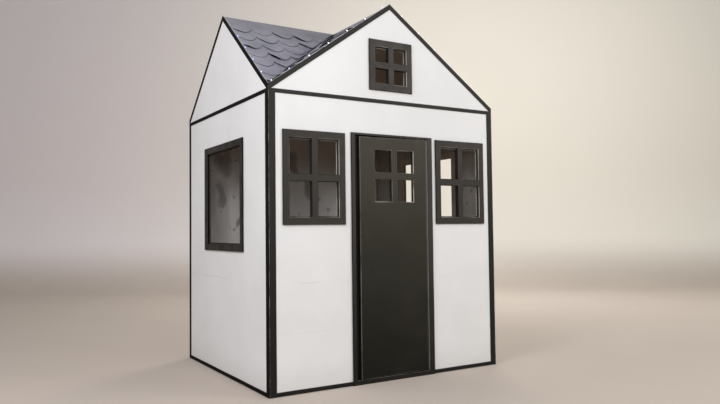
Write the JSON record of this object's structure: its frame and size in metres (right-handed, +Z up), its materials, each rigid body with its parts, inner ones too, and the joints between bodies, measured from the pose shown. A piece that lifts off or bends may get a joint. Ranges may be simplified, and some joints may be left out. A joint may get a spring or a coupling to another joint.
{
  "type": "cardboard playhouse",
  "caption": "Child's cardboard playhouse with a gabled roof of scalloped card shingles, framed open windows, a framed door hung on tape and a string of small lamps.",
  "frame": {"origin": "middle of the outline's box, on the floor under the walls", "axes": "+X along the front wall to the right as seen from the front, +Y to the back, +Z up"},
  "size_m": [1.062, 0.917, 1.4809],
  "materials": {
    "card": "matte white paper over card",
    "roof_card": "bare card, dark in the roof space",
    "shingle_card": "matte slate grey card",
    "trim_paper": "matte black paper",
    "frame_card": "matte charcoal card",
    "door_card": "matte charcoal card",
    "hinge_tape": "grey paper tape",
    "wire": "thin clear wire",
    "lamp": "clear, lit white",
    "case_plastic": "matte white"
  },
  "bodies": {
    "house": {"front_wall": "card", "back_wall": "card", "left_wall": "card", "right_wall": "card", "front_gable": "card", "back_gable": "card", "left_gable": "card", "right_gable": "card", "front_roof_sheet": "roof_card", "back_roof_sheet": "roof_card", "left_roof_sheet": "roof_card", "right_roof_sheet": "roof_card", "front_ridge_course": "shingle_card", "back_ridge_course": "shingle_card", "left_ridge_course": "shingle_card", "right_ridge_course": "shingle_card", "front_wing_left_shingles": "shingle_card", "front_wing_right_shingles": "shingle_card", "back_wing_left_shingles": "shingle_card", "back_wing_right_shingles": "shingle_card", "left_wing_front_shingles": "shingle_card", "left_wing_back_shingles": "shingle_card", "right_wing_front_shingles": "shingle_card", "right_wing_back_shingles": "shingle_card", "front_left_corner_trim": "trim_paper", "front_right_corner_trim": "trim_paper", "back_left_corner_trim": "trim_paper", "back_right_corner_trim": "trim_paper", "front_eave_trim": "trim_paper", "back_eave_trim": "trim_paper", "left_eave_trim": "trim_paper", "right_eave_trim": "trim_paper", "front_left_base_trim": "trim_paper", "front_right_base_trim": "trim_paper", "back_base_trim": "trim_paper", "left_base_trim": "trim_paper", "right_base_trim": "trim_paper", "front_rake_trim": "trim_paper", "back_rake_trim": "trim_paper", "left_rake_trim": "trim_paper", "right_rake_trim": "trim_paper", "front_left_window_frame": "frame_card", "front_left_window_inner_frame": "frame_card", "front_right_window_frame": "frame_card", "front_right_window_inner_frame": "frame_card", "gable_window_frame": "frame_card", "gable_window_inner_frame": "frame_card", "left_window_frame": "frame_card", "left_window_inner_frame": "frame_card", "right_window_frame": "frame_card", "right_window_inner_frame": "frame_card", "door_frame": "frame_card", "door_inner_frame": "frame_card", "lamp_wire": "wire", "lamps": "lamp", "battery_case": "case_plastic"},
    "door": {"door_front_sheet": "door_card", "door_core": "door_card", "door_back_sheet": "door_card", "door_hinge_tape": "hinge_tape"}
  },
  "joints": [
    {"name": "door_hinge", "type": "hinge", "parent": "house", "child": "door", "pos_m": [0.1706, -0.4525, 0.481], "axis": [0, 0, 1], "range_deg": [0, 95]}
  ]
}
